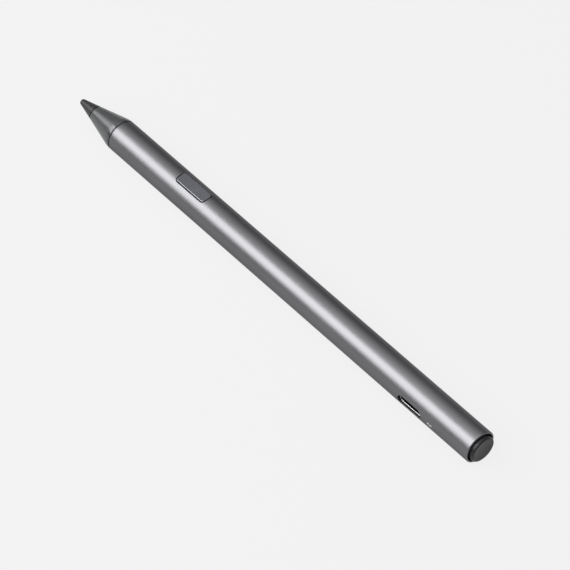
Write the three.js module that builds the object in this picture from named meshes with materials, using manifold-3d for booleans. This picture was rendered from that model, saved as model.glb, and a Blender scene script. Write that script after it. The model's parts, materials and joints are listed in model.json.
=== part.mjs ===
// An active stylus pen for a tablet: a slim aluminium tube with a conical nose, a replaceable
// writing nib that feels pressure, a side button, a USB-C charging port with a status light,
// and a push button at the tail.
//
// Every sub-part is shaped in pen coordinates, in millimetres: X is the distance from the
// writing tip, and Y and Z are measured from the pen's axis. +Z is the side button's side and
// -Y is the charging port's side. The group then stands the pen on the flat along its underside.

import * as THREE from "three";
import { mergeVertices } from "three/addons/utils/BufferGeometryUtils.js";
import Module from "manifold-3d";

const wasm = await Module();
wasm.setup();

// ---- Driving dimensions ---------------------------------------------------------------------

const BARREL_RADIUS = 4.75;
const WALL = 0.6;
const BORE_RADIUS = BARREL_RADIUS - WALL;
const FLAT_DEPTH = 0.25; // how far the magnet flat is milled into the underside
const FIT_GAP = 0.1; // clearance between a fixed piece and what holds it
const SLIDE_GAP = 0.15; // clearance round a piece that moves
const TOUCH_GAP = 0.05; // clearance where two faces rest on each other

const NIB_LENGTH = 6.3;
const NIB_TIP_RADIUS = 0.8;
const NIB_BASE_RADIUS = 2.26;
const NIB_STEM_RADIUS = 0.85;
const NIB_STEM_END = 13;
const NIB_TRAVEL = 0.2;

const NOSE_START = 6.55;
const NOSE_START_RADIUS = 2.34;
const NOSE_FULL_AT = 16.4; // where the cone reaches the barrel's radius
const NOSE_END = 17.35; // the front edge of the seam round the pen
const SEAM_RADIUS = 4.5; // the floor of the seam
const BARREL_START = 17.8;
const BARREL_END = 160.7;
const NECK_RADIUS = BORE_RADIUS - FIT_GAP;
const NECK_END = 24;

const BUTTON_CENTRE = 48.6;
const BUTTON_WINDOW = { length: 11.8, width: 3.92, corner: 1.1 };
const BUTTON_KEY = { length: 11.45, width: 3.5, corner: 0.9 };
const BUTTON_KEY_CENTRE = BUTTON_CENTRE - 0.08; // the key sits a little forward in its window
const BUTTON_FLANGE = { length: 13.2, width: 5.2, corner: 1 };
const BUTTON_FLANGE_HEIGHT = [2.5, 3.05];
const BUTTON_TOP = 4.72;
const BUTTON_BEVEL = 0.18;
const BUTTON_TRAVEL = 0.3;

const PORT_CENTRE = 139.2;
const PORT_CUTOUT = { length: 8.6, width: 2.9 };
const PORT_OPENING = { length: 8.34, width: 2.56 }; // the socket's standard opening
const PORT_SHELL_WALL = 0.25;
const PORT_FRONT = -3.8;
const PORT_BACK = 2.6;

const PORT_BOARD = { x: [133, 151], y: [2.72, 3.3], z: [-1.65, 1.9] };

const LIGHT_CENTRE = 146.9;
const LIGHT_SLOT = { length: 2.1, width: 0.44 };
const LIGHT_PIPE = [-4.66, 1.88];

const TAIL_RADIUS = 3.8;
const TAIL_END = 161.9;
const TAIL_BORE_RADIUS = 4.27;
const TAIL_BORE_START = 158;
const TAIL_TRAVEL = 0.35;

const BOARD_TOP = 0.2;
const BOARD_THICKNESS = 0.8;
const BOARD_BOTTOM = BOARD_TOP - BOARD_THICKNESS;
const BOARD_HALF_WIDTH = 3.2;
const MAIN_BOARD = [31.5, 76];
const FLEX = { thickness: 0.15, width: 2 };

const FRAME = {
  start: 24.6,
  end: 151.8,
  radius: 4,
  floor: -2.3,
  ledge: -0.7, // the height of the ledges that carry the main board
  ledgeY: 2.6,
  wallY: 3.3,
};
const SCREW_PLACES = { frame_screw_front: 34.5, frame_screw_rear: 64.2 };
const SCREW = { head: 0.9, headHeight: 0.5, shank: 0.5, length: 2.2 };
const MAGNET = { length: 14, halfWidth: 1.5, top: -2.6, bottom: -3.6 };
const MAGNET_PLACES = [58, 76, 94, 112];
const CELL = { start: 81, end: 127, radius: 2.85, centreZ: 0.7 };

const ORIGIN_AT = 80.875; // the place along the pen that stands over the origin
const AXIS_HEIGHT = BARREL_RADIUS - FLAT_DEPTH;

const BARREL_SIDES = 48;
const TURNED_SIDES = 32;
const SMALL_SIDES = 16;

// ---- Solids ---------------------------------------------------------------------------------

function solidOf(geometry) {
  const bare = new THREE.BufferGeometry();
  bare.setAttribute("position", geometry.getAttribute("position"));
  bare.setIndex(geometry.index);
  const merged = mergeVertices(bare, 1e-4);
  return new wasm.Manifold(
    new wasm.Mesh({
      numProp: 3,
      vertProperties: merged.attributes.position.array,
      triVerts: new Uint32Array(merged.index.array),
    }),
  );
}

function geometryOf(solid) {
  const { vertProperties, triVerts } = solid.getMesh();
  const geometry = new THREE.BufferGeometry();
  geometry.setAttribute("position", new THREE.BufferAttribute(new Float32Array(vertProperties), 3));
  geometry.setIndex(new THREE.BufferAttribute(new Uint32Array(triVerts), 1));
  geometry.computeVertexNormals();
  return geometry;
}

// A solid of revolution about the pen's axis. Each profile point is [distance along, radius].
function turned(profile, sides = TURNED_SIDES) {
  const points = profile.map(([along, radius]) => new THREE.Vector2(radius, along));
  if (THREE.ShapeUtils.area(points) < 0) points.reverse();
  return solidOf(new THREE.LatheGeometry(points, sides).rotateZ(-Math.PI / 2));
}

function disc(start, end, radius, sides) {
  return turned([[start, 0], [start, radius], [end, radius], [end, 0]], sides);
}

function ring(start, end, inner, outer, sides) {
  return turned([[start, inner], [start, outer], [end, outer], [end, inner], [start, inner]], sides);
}

function block([x0, x1], [y0, y1], [z0, z1]) {
  const box = new THREE.BoxGeometry(x1 - x0, y1 - y0, z1 - z0);
  return solidOf(box.translate((x0 + x1) / 2, (y0 + y1) / 2, (z0 + z1) / 2));
}

function span(centre, size) {
  return [centre - size / 2, centre + size / 2];
}

// A rectangle with round corners, centred on its own origin.
function roundedOutline(length, width, corner) {
  const [x, y] = [length / 2 - corner, width / 2 - corner];
  const outline = new THREE.Shape();
  outline.absarc(x, y, corner, 0, Math.PI / 2);
  outline.absarc(-x, y, corner, Math.PI / 2, Math.PI);
  outline.absarc(-x, -y, corner, Math.PI, 1.5 * Math.PI);
  outline.absarc(x, -y, corner, 1.5 * Math.PI, 2 * Math.PI);
  outline.closePath();
  return outline;
}

function outlineOf({ length, width, corner }) {
  return roundedOutline(length, width, corner);
}

function pill({ length, width }, grow = 0) {
  return roundedOutline(length + 2 * grow, width + 2 * grow, width / 2 + grow - 0.001);
}

function extruded(outline, depth, curveSegments = 6) {
  return new THREE.ExtrudeGeometry(outline, { depth, bevelEnabled: false, curveSegments });
}

// An outline in X and Y that rises from one height to another.
function upright(outline, centreX, [z0, z1]) {
  return solidOf(extruded(outline, z1 - z0).translate(centreX, 0, z0));
}

// An outline in X and Z that runs across the pen from one Y to another.
function across(outline, centreX, [y0, y1]) {
  return solidOf(extruded(outline, y1 - y0).rotateX(Math.PI / 2).translate(centreX, y1, 0));
}

// An outline in Y and Z that runs along the pen.
function lengthwise(points, [x0, x1]) {
  const outline = new THREE.Shape(points.map(([y, z]) => new THREE.Vector2(y, z)));
  const turn = new THREE.Matrix4().makeBasis(
    new THREE.Vector3(0, 1, 0),
    new THREE.Vector3(0, 0, 1),
    new THREE.Vector3(1, 0, 0),
  );
  return solidOf(extruded(outline, x1 - x0).applyMatrix4(turn).translate(x0, 0, 0));
}

function post(centreX, centreY, radius, [z0, z1], sides = SMALL_SIDES) {
  const cylinder = new THREE.CylinderGeometry(radius, radius, z1 - z0, sides);
  return solidOf(cylinder.rotateX(Math.PI / 2).translate(centreX, centreY, (z0 + z1) / 2));
}

// A round wire that follows a curve. A full circle gets two points for each curve segment.
function wireAlong(path, radius, steps, sides) {
  const section = new THREE.Shape();
  section.absarc(0, 0, radius, 0, 2 * Math.PI);
  const options = { steps, extrudePath: path, curveSegments: sides / 2, bevelEnabled: false };
  return solidOf(new THREE.ExtrudeGeometry(section, options));
}

class Helix extends THREE.Curve {
  constructor(start, end, radius, turns) {
    super();
    Object.assign(this, { start, end, radius, turns });
  }

  getPoint(t, target = new THREE.Vector3()) {
    const angle = 2 * Math.PI * this.turns * t;
    const along = this.start + (this.end - this.start) * t;
    return target.set(along, this.radius * Math.cos(angle), this.radius * Math.sin(angle));
  }
}

function coilSpring(start, end, radius, wire, turns) {
  const stepsPerTurn = 10;
  const path = new Helix(start + wire, end - wire, radius, turns);
  return wireAlong(path, wire, stepsPerTurn * turns, 6);
}

// The block that the magnet flat removes from anything that reaches the barrel's full radius.
function belowTheFlat() {
  const deep = 2 * BARREL_RADIUS;
  return block([0, TAIL_END], [-deep, deep], [-deep, -AXIS_HEIGHT]);
}

// ---- Tip ------------------------------------------------------------------------------------

function nib() {
  const slope = Math.atan((NIB_BASE_RADIUS - NIB_TIP_RADIUS) / (NIB_LENGTH - NIB_TIP_RADIUS));
  const roundSteps = 5;
  const profile = [];
  for (let i = 0; i <= roundSteps; i += 1) {
    const angle = (i / roundSteps) * (Math.PI / 2 - slope);
    profile.push([NIB_TIP_RADIUS * (1 - Math.cos(angle)), NIB_TIP_RADIUS * Math.sin(angle)]);
  }
  profile.push([NIB_LENGTH, NIB_BASE_RADIUS]);
  profile.push([NIB_LENGTH, NIB_STEM_RADIUS]);
  profile.push([NIB_STEM_END, NIB_STEM_RADIUS]);
  profile.push([NIB_STEM_END, 0]);
  return turned(profile);
}

const HOLDER = { start: 10.5, shoulder: 15.5, end: 27.2, socketEnd: 13.3, radius: 1.7, rodRadius: 1 };

function nibHolder() {
  const socketRadius = NIB_STEM_RADIUS + FIT_GAP;
  return turned([
    [HOLDER.start, socketRadius],
    [HOLDER.start, HOLDER.radius],
    [HOLDER.shoulder, HOLDER.radius],
    [HOLDER.shoulder, HOLDER.rodRadius],
    [HOLDER.end, HOLDER.rodRadius],
    [HOLDER.end, 0],
    [HOLDER.socketEnd, 0],
    [HOLDER.socketEnd, socketRadius],
    [HOLDER.start, socketRadius],
  ]);
}

const SEAT = [21.6, 22.4];
const CHAMBER = { start: 17.5, radius: 3.2 }; // the wide bore in the nose cone's neck
const HOLDER_BORE_START = 9.9;
const ELECTRODE = { start: 17.7, end: 21.3, inner: 2.1 };

function nibSpring() {
  return coilSpring(HOLDER.shoulder + TOUCH_GAP, SEAT[0] - TOUCH_GAP, 1.5, 0.2, 5);
}

function springSeat() {
  return ring(...SEAT, HOLDER.rodRadius + SLIDE_GAP, CHAMBER.radius - FIT_GAP);
}

function tiltElectrode() {
  return ring(ELECTRODE.start, ELECTRODE.end, ELECTRODE.inner, CHAMBER.radius - FIT_GAP);
}

const SEAL = { centre: 20.6, wire: 0.26 };

function frontSeal() {
  const radius = BORE_RADIUS - SEAL.wire - 0.03;
  const torus = new THREE.TorusGeometry(radius, SEAL.wire, 8, TURNED_SIDES);
  return solidOf(torus.rotateY(Math.PI / 2).translate(SEAL.centre, 0, 0));
}

function noseCone() {
  const slope = (BARREL_RADIUS - NOSE_START_RADIUS) / (NOSE_FULL_AT - NOSE_START);
  const edge = 0.12;
  const blend = 0.4;
  const seamEnd = BARREL_START - TOUCH_GAP;
  const sealHalf = SEAL.wire + TOUCH_GAP;
  const sealFloor = BORE_RADIUS - 2 * SEAL.wire - 0.1;
  const stemBore = NIB_STEM_RADIUS + 2 * SLIDE_GAP;
  const holderBore = HOLDER.radius + 2 * SLIDE_GAP;
  const cone = turned(
    [
      [NOSE_START, stemBore],
      [NOSE_START, NOSE_START_RADIUS - edge],
      [NOSE_START + edge, NOSE_START_RADIUS + edge * slope],
      [NOSE_FULL_AT - blend, BARREL_RADIUS - blend * slope],
      [NOSE_FULL_AT + blend, BARREL_RADIUS],
      [NOSE_END - edge, BARREL_RADIUS],
      [NOSE_END, BARREL_RADIUS - edge],
      [NOSE_END, SEAM_RADIUS],
      [seamEnd, SEAM_RADIUS],
      [seamEnd, NECK_RADIUS],
      [SEAL.centre - sealHalf, NECK_RADIUS],
      [SEAL.centre - sealHalf, sealFloor],
      [SEAL.centre + sealHalf, sealFloor],
      [SEAL.centre + sealHalf, NECK_RADIUS],
      [NECK_END, NECK_RADIUS],
      [NECK_END, CHAMBER.radius],
      [CHAMBER.start, CHAMBER.radius],
      [CHAMBER.start, holderBore],
      [HOLDER_BORE_START, holderBore],
      [HOLDER_BORE_START, stemBore],
      [NOSE_START, stemBore],
    ],
    BARREL_SIDES,
  );
  return cone.subtract(belowTheFlat());
}

const SENSOR = { start: 27.9, end: 30.4, radius: 2.6 };

function forceSensor() {
  const domeFront = HOLDER.end + NIB_TRAVEL + TOUCH_GAP;
  const domeRadius = 0.8;
  return turned([
    [domeFront, 0],
    [domeFront, domeRadius / 2],
    [SENSOR.start, domeRadius],
    [SENSOR.start, SENSOR.radius],
    [SENSOR.end, SENSOR.radius],
    [SENSOR.end, 0],
  ]);
}

function sensorFlex() {
  const back = SENSOR.end + TOUCH_GAP;
  const level = BOARD_TOP + TOUCH_GAP;
  const tabEnd = MAIN_BOARD[0] + 2;
  const top = level + FLEX.thickness;
  const width = span(0, FLEX.width);
  const riser = block([back, back + FLEX.thickness], width, [-1.5, top]);
  const tab = block([back, tabEnd], width, [level, top]);
  return riser.add(tab);
}

// ---- Housing --------------------------------------------------------------------------------

function barrel() {
  const frontEdge = 0.15;
  const rearEdge = 0.3;
  const tube = turned(
    [
      [BARREL_START, BORE_RADIUS],
      [BARREL_START, BARREL_RADIUS - frontEdge],
      [BARREL_START + frontEdge, BARREL_RADIUS],
      [BARREL_END - rearEdge, BARREL_RADIUS],
      [BARREL_END - 0.3 * rearEdge, BARREL_RADIUS - 0.3 * rearEdge],
      [BARREL_END, BARREL_RADIUS - rearEdge],
      [BARREL_END, TAIL_BORE_RADIUS],
      [TAIL_BORE_START, TAIL_BORE_RADIUS],
      [TAIL_BORE_START, BORE_RADIUS],
      [BARREL_START, BORE_RADIUS],
    ],
    BARREL_SIDES,
  );
  const outside = 2 * BARREL_RADIUS;
  const window = upright(outlineOf(BUTTON_WINDOW), BUTTON_CENTRE, [0, outside]);
  const port = across(pill(PORT_CUTOUT), PORT_CENTRE, [-outside, 0]);
  const light = across(pill(LIGHT_SLOT), LIGHT_CENTRE, [-outside, 0]);
  return tube.subtract(window).subtract(port).subtract(light).subtract(belowTheFlat());
}

// The tray is cut away to this height for the pieces that reach through its walls.
const ABOVE_TRAY = 1;

function sensorSpace() {
  const side = SENSOR.radius + 2 * FIT_GAP;
  return block([FRAME.start - 1, SENSOR.end + 0.4], [-side, side], [-side, ABOVE_TRAY]);
}

function portSpace() {
  const length = PORT_OPENING.length + 2 * PORT_SHELL_WALL + 0.36;
  const floor = -(PORT_OPENING.width / 2 + PORT_SHELL_WALL + 0.17);
  return block(span(PORT_CENTRE, length), [-BARREL_RADIUS, PORT_BACK + 0.3], [floor, ABOVE_TRAY]);
}

function lightSpace() {
  const length = LIGHT_SLOT.length + 0.3;
  const floor = -(LIGHT_SLOT.width / 2 + 0.3);
  return block(span(LIGHT_CENTRE, length), [-BARREL_RADIUS, PORT_BACK + 0.3], [floor, ABOVE_TRAY]);
}

function portBoardSpace() {
  const sides = [PORT_BOARD.y[0] - 0.22, PORT_BOARD.y[1] + 0.2];
  return block([PORT_BOARD.x[0] - 0.5, FRAME.end + 1], sides, [PORT_BOARD.z[0] - FIT_GAP, ABOVE_TRAY]);
}

// The moulded tray that holds the boards, the cell and the magnets.
function innerFrame() {
  const arcSteps = 14;
  const section = [];
  for (let i = 0; i <= arcSteps; i += 1) {
    const angle = Math.PI * (1 + i / arcSteps);
    section.push([FRAME.radius * Math.cos(angle), FRAME.radius * Math.sin(angle)]);
  }
  section.push([FRAME.wallY, 0], [FRAME.wallY, FRAME.ledge], [FRAME.ledgeY, FRAME.ledge]);
  section.push([FRAME.ledgeY, FRAME.floor], [-FRAME.ledgeY, FRAME.floor]);
  section.push([-FRAME.ledgeY, FRAME.ledge], [-FRAME.wallY, FRAME.ledge], [-FRAME.wallY, 0]);
  let frame = lengthwise(section, [FRAME.start, FRAME.end]);

  for (const place of Object.values(SCREW_PLACES)) {
    frame = frame.add(post(place, 0, 1.2, [FRAME.floor - 0.1, FRAME.ledge]));
    frame = frame.subtract(post(place, 0, SCREW.shank + FIT_GAP, [FRAME.floor, 0]));
  }
  for (const place of MAGNET_PLACES) {
    const pocket = span(place, MAGNET.length + 2 * FIT_GAP);
    const pocketWidth = 2 * (MAGNET.halfWidth + FIT_GAP);
    const heights = [-BARREL_RADIUS, MAGNET.top + TOUCH_GAP];
    frame = frame.subtract(block(pocket, span(0, pocketWidth), heights));
  }
  for (const space of [sensorSpace(), portSpace(), lightSpace(), portBoardSpace()]) {
    frame = frame.subtract(space);
  }
  return frame;
}

function frameScrew(place) {
  const seat = BOARD_TOP + 0.02;
  const slotWidth = 0.25;
  const slotFloor = seat + 0.3;
  const head = post(place, 0, SCREW.head, [seat, seat + SCREW.headHeight]);
  const shank = post(place, 0, SCREW.shank, [seat - SCREW.length, seat + SCREW.headHeight / 2]);
  const slot = block(span(place, 3 * SCREW.head), span(0, slotWidth), [slotFloor, seat + 1]);
  return head.add(shank).subtract(slot);
}

function magnet(place) {
  const { length, halfWidth, bottom, top } = MAGNET;
  return block(span(place, length), [-halfWidth, halfWidth], [bottom, top]);
}

// ---- Main board -----------------------------------------------------------------------------

function mainBoard() {
  let board = block(MAIN_BOARD, [-BOARD_HALF_WIDTH, BOARD_HALF_WIDTH], [BOARD_BOTTOM, BOARD_TOP]);
  for (const place of Object.values(SCREW_PLACES)) {
    board = board.subtract(post(place, 0, SCREW.shank + FIT_GAP, [BOARD_BOTTOM - 1, BOARD_TOP + 1]));
  }
  return board;
}

// A component that sits on the main board.
function onBoard(centreX, length, width, height) {
  const bottom = BOARD_TOP + TOUCH_GAP;
  return block(span(centreX, length), span(0, width), [bottom, bottom + height]);
}

const powerChip = () => onBoard(39.2, 3, 3, 0.8);
const mainChip = () => onBoard(57, 5, 5, 0.9);
const clockCrystal = () => onBoard(61.4, 1.6, 2.4, 0.6);
const radioShield = () => onBoard(69, 5.6, 5.2, 1.3);

const SWITCH_BODY = { length: 3.4, width: 3, top: 1.55 };
const SWITCH_TOP = 2.1;
const SWITCH_PLUNGER_RADIUS = 0.65;
const SWITCH_PLUNGER_BOTTOM = 1.1;

function sideSwitch() {
  const bottom = BOARD_TOP + TOUCH_GAP;
  const { length, width, top } = SWITCH_BODY;
  const body = block(span(BUTTON_CENTRE, length), span(0, width), [bottom, top]);
  const floor = SWITCH_PLUNGER_BOTTOM - BUTTON_TRAVEL - FIT_GAP;
  return body.subtract(post(BUTTON_CENTRE, 0, SWITCH_PLUNGER_RADIUS + FIT_GAP, [floor, 3]));
}

function sideSwitchPlunger() {
  return post(BUTTON_CENTRE, 0, SWITCH_PLUNGER_RADIUS, [SWITCH_PLUNGER_BOTTOM, SWITCH_TOP]);
}

// The side button: a flat key with a flange that keeps it inside the barrel.
function sideButton() {
  const [flangeBottom, flangeTop] = BUTTON_FLANGE_HEIGHT;
  const overlap = 0.1;
  const pusherRadius = 0.8;
  const { length, width, corner } = BUTTON_KEY;
  const narrower = 2 * BUTTON_BEVEL;
  const face = roundedOutline(length - narrower, width - narrower, corner - BUTTON_BEVEL);
  const keyHeight = [flangeTop - overlap, BUTTON_TOP - BUTTON_BEVEL];
  return upright(outlineOf(BUTTON_KEY), BUTTON_KEY_CENTRE, keyHeight)
    .add(upright(face, BUTTON_KEY_CENTRE, [flangeTop, BUTTON_TOP]))
    .add(upright(outlineOf(BUTTON_FLANGE), BUTTON_CENTRE, BUTTON_FLANGE_HEIGHT))
    .add(post(BUTTON_CENTRE, 0, pusherRadius, [SWITCH_TOP + TOUCH_GAP, flangeBottom + overlap]));
}

// ---- Battery --------------------------------------------------------------------------------

function batteryCell() {
  const { start, end, radius, centreZ } = CELL;
  const edge = 0.3;
  return turned([
    [start, 0],
    [start, radius - edge],
    [start + edge, radius],
    [end - edge, radius],
    [end, radius - edge],
    [end, 0],
  ]).translate([0, 0, centreZ]);
}

function batteryFoamPad() {
  const middle = (CELL.start + CELL.end) / 2;
  const size = { length: 24, width: 2.4, thickness: 0.25 };
  const bottom = CELL.centreZ + CELL.radius + TOUCH_GAP;
  return block(span(middle, size.length), span(0, size.width), [bottom, bottom + size.thickness]);
}

const CONNECTOR = { centre: 73.6, length: 2.4, width: 3.4, height: 1.2 };
const LEAD_RADIUS = 0.3;

function batteryConnector() {
  const { centre, length, width, height } = CONNECTOR;
  return onBoard(centre, length, width, height);
}

// One lead from the connector to the cell. side is 1 or -1.
function batteryLead(side) {
  const connectorEnd = CONNECTOR.centre + CONNECTOR.length / 2;
  const points = [
    new THREE.Vector3(connectorEnd + 0.15, side * 0.7, 0.85),
    new THREE.Vector3(connectorEnd + 1.8, side * 0.7, 0.9),
    new THREE.Vector3(CELL.start - 2.2, side * 0.9, 1.2),
    new THREE.Vector3(CELL.start - TOUCH_GAP, side * 0.9, 1.2),
  ];
  return wireAlong(new THREE.CatmullRomCurve3(points), LEAD_RADIUS, 10, 8);
}

// ---- Charging port and status light ---------------------------------------------------------

function portBoard() {
  return block(PORT_BOARD.x, PORT_BOARD.y, PORT_BOARD.z);
}

function portShell() {
  const shell = across(pill(PORT_OPENING, PORT_SHELL_WALL), PORT_CENTRE, [PORT_FRONT, PORT_BACK]);
  const hollow = across(pill(PORT_OPENING), PORT_CENTRE, [PORT_FRONT - 1, PORT_BACK - 0.3]);
  return shell.subtract(hollow);
}

const TONGUE = { front: -2.9, root: 1.2, halfThickness: 0.35, width: 6.69 };

function portTongue() {
  const root = across(pill(PORT_OPENING, -FIT_GAP), PORT_CENTRE, [TONGUE.root, PORT_BACK - 0.35]);
  const blade = block(
    span(PORT_CENTRE, TONGUE.width),
    [TONGUE.front, TONGUE.root + 0.1],
    [-TONGUE.halfThickness, TONGUE.halfThickness],
  );
  return root.add(blade);
}

// A comb of twelve contacts on one face of the tongue, joined by a bar at its root.
function portContacts(side) {
  const pitch = 0.5;
  const count = 12;
  const contactWidth = 0.26;
  const contactFront = TONGUE.front + 0.5;
  const bar = [TONGUE.root - 0.5, TONGUE.root - 0.1];
  const near = side * (TONGUE.halfThickness + 0.02);
  const far = side * (TONGUE.halfThickness + 0.1);
  const height = [Math.min(near, far), Math.max(near, far)];
  let comb = block(span(PORT_CENTRE, pitch * count), bar, height);
  for (let i = 0; i < count; i += 1) {
    const place = PORT_CENTRE + (i - (count - 1) / 2) * pitch;
    comb = comb.add(block(span(place, contactWidth), [contactFront, bar[1]], height));
  }
  return comb;
}

function statusLight() {
  const size = { length: 1.4, height: 0.7 };
  const depth = [LIGHT_PIPE[1] + 0.07, PORT_BOARD.y[0] - 0.06];
  return block(span(LIGHT_CENTRE, size.length), depth, span(0, size.height));
}

// The light pipe that carries the status light to the slot in the barrel.
function lightPipe() {
  return across(pill(LIGHT_SLOT, -0.06), LIGHT_CENTRE, LIGHT_PIPE);
}

// The flex cable stands on edge beside the cell, with a tab that lies on the main board.
function powerFlex() {
  const start = MAIN_BOARD[1] - 3;
  const end = PORT_BOARD.x[0] + 3;
  const inside = PORT_BOARD.y[1] + 0.12;
  const level = BOARD_TOP + TOUCH_GAP;
  const strip = block([start, end], [inside, inside + FLEX.thickness], [0.1, 1.7]);
  const tab = block([start, MAIN_BOARD[1] - 0.8], [2.2, inside + 0.08], [level, level + FLEX.thickness]);
  return strip.add(tab);
}

// ---- Tail -----------------------------------------------------------------------------------

const TAIL_BOARD = [152.4, 153.2];
const TAIL_SWITCH = { size: 3, top: 154.35, plunger: [153.95, 154.95], radius: 0.6 };
const TAIL_STEM_RADIUS = 1;
const TAIL_STEM_END = TAIL_SWITCH.plunger[1] + TOUCH_GAP;
const TAIL_BUSHING = [155.6, 157.6];
const TAIL_SPRING = { start: TAIL_BUSHING[1] + TOUCH_GAP, end: 160.3, radius: 1.75, wire: 0.18 };

function tailBoard() {
  return disc(...TAIL_BOARD, BORE_RADIUS - 2.5 * FIT_GAP);
}

function tailFlex() {
  const start = PORT_BOARD.x[1] - 2.4;
  const end = TAIL_BOARD[0] - TOUCH_GAP;
  const top = PORT_BOARD.y[0] - TOUCH_GAP;
  const width = span(0, FLEX.width);
  const strip = block([start, end], [top - FLEX.thickness, top], width);
  const foot = block([end - FLEX.thickness, end], [top - 1.5, top], width);
  return strip.add(foot);
}

function tailSwitch() {
  const { size, top, plunger, radius } = TAIL_SWITCH;
  const body = block([TAIL_BOARD[1] + TOUCH_GAP, top], span(0, size), span(0, size));
  const floor = plunger[0] - TAIL_TRAVEL - FIT_GAP;
  return body.subtract(disc(floor, top + 1, radius + FIT_GAP, SMALL_SIDES));
}

function tailSwitchPlunger() {
  return disc(...TAIL_SWITCH.plunger, TAIL_SWITCH.radius, SMALL_SIDES);
}

function tailBushing() {
  return ring(...TAIL_BUSHING, TAIL_STEM_RADIUS + SLIDE_GAP, BORE_RADIUS - FIT_GAP);
}

function tailSpring() {
  return coilSpring(TAIL_SPRING.start, TAIL_SPRING.end, TAIL_SPRING.radius, TAIL_SPRING.wire, 3);
}

// The tail button: a disc with a rounded edge and a shallow dish, on a stem through the bushing.
function tailButton() {
  const edge = 0.45;
  const underside = 159;
  const dish = { depth: 0.13, radius: 3.1 };
  const room = TAIL_SPRING.wire + 0.3;
  const pocket = [TAIL_SPRING.radius - room, TAIL_SPRING.radius + room];
  const pocketEnd = TAIL_SPRING.end + TOUCH_GAP;
  const edgeSteps = 3;
  const profile = [
    [TAIL_STEM_END, 0],
    [TAIL_STEM_END, TAIL_STEM_RADIUS],
    [underside, TAIL_STEM_RADIUS],
    [underside, pocket[0]],
    [pocketEnd, pocket[0]],
    [pocketEnd, pocket[1]],
    [underside, pocket[1]],
    [underside, TAIL_RADIUS],
  ];
  for (let i = 0; i <= edgeSteps; i += 1) {
    const angle = (i / edgeSteps) * (Math.PI / 2);
    const back = TAIL_END - edge + edge * Math.sin(angle);
    profile.push([back, TAIL_RADIUS - edge + edge * Math.cos(angle)]);
  }
  profile.push([TAIL_END - 0.6 * dish.depth, dish.radius]);
  profile.push([TAIL_END - 0.9 * dish.depth, 0.65 * dish.radius]);
  profile.push([TAIL_END - dish.depth, 0]);
  return turned(profile, BARREL_SIDES);
}

// ---- Materials ------------------------------------------------------------------------------

function material(color, roughness, metalness = 0) {
  return new THREE.MeshStandardMaterial({ color, roughness, metalness });
}

const anodised = () => material(0x7c7d80, 0.38, 1);
const paintedGrey = () => material(0x5d605f, 0.42);
const darkPolymer = () => material(0x2a2a2c, 0.5);
const darkPlastic = () => material(0x47484b, 0.45);
const whiteNylon = () => material(0xd8d6cf, 0.55);
const steel = () => material(0xc4c6c8, 0.25, 1);
const springSteel = () => material(0x9a9da0, 0.3, 1);
const brass = () => material(0xb9975a, 0.35, 1);
const goldPlate = () => material(0xd4a94e, 0.25, 1);
const magnetNickel = () => material(0xaeb0b2, 0.3, 1);
const boardGreen = () => material(0x1f4a34, 0.55);
const chipBlack = () => material(0x1b1b1d, 0.5);
const siliconeBlack = () => material(0x161617, 0.7);
const flexAmber = () => material(0x8a5a24, 0.45);
const cellWrap = () => material(0x2f4f7f, 0.45);
const foamGrey = () => material(0x55565a, 0.95);
const leadRed = () => material(0xa32620, 0.5);
const leadBlack = () => material(0x1a1a1a, 0.5);
const clearPlastic = () => material(0xe6ebee, 0.2);
const lightWhite = () => material(0xf2efe2, 0.35);

// ---- Assembly -------------------------------------------------------------------------------

const stylus = new THREE.Group();
stylus.position.set(-ORIGIN_AT, 0, AXIS_HEIGHT);

function addPiece(name, solid, finish) {
  const mesh = new THREE.Mesh(geometryOf(solid), finish);
  mesh.name = name;
  stylus.add(mesh);
}

addPiece("nib", nib(), darkPolymer());
addPiece("nib_holder", nibHolder(), brass());
addPiece("nib_spring", nibSpring(), springSteel());
addPiece("spring_seat", springSeat(), whiteNylon());
addPiece("tilt_electrode", tiltElectrode(), brass());
addPiece("front_seal", frontSeal(), siliconeBlack());
addPiece("nose_cone", noseCone(), paintedGrey());
addPiece("force_sensor", forceSensor(), steel());
addPiece("sensor_flex", sensorFlex(), flexAmber());

addPiece("barrel", barrel(), anodised());
addPiece("inner_frame", innerFrame(), darkPlastic());
for (const [name, place] of Object.entries(SCREW_PLACES)) {
  addPiece(name, frameScrew(place), steel());
}
MAGNET_PLACES.forEach((place, i) => addPiece(`magnet_${i + 1}`, magnet(place), magnetNickel()));

addPiece("main_board", mainBoard(), boardGreen());
addPiece("power_chip", powerChip(), chipBlack());
addPiece("side_switch", sideSwitch(), steel());
addPiece("side_switch_plunger", sideSwitchPlunger(), chipBlack());
addPiece("side_button", sideButton(), darkPlastic());
addPiece("main_chip", mainChip(), chipBlack());
addPiece("clock_crystal", clockCrystal(), steel());
addPiece("radio_shield", radioShield(), steel());
addPiece("battery_connector", batteryConnector(), whiteNylon());
addPiece("battery_lead_positive", batteryLead(1), leadRed());
addPiece("battery_lead_negative", batteryLead(-1), leadBlack());
addPiece("battery_cell", batteryCell(), cellWrap());
addPiece("battery_foam_pad", batteryFoamPad(), foamGrey());

addPiece("power_flex", powerFlex(), flexAmber());
addPiece("port_board", portBoard(), boardGreen());
addPiece("usb_c_shell", portShell(), steel());
addPiece("usb_c_tongue", portTongue(), chipBlack());
addPiece("usb_c_contacts_upper", portContacts(1), goldPlate());
addPiece("usb_c_contacts_lower", portContacts(-1), goldPlate());
addPiece("status_led", statusLight(), lightWhite());
addPiece("light_pipe", lightPipe(), clearPlastic());

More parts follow.
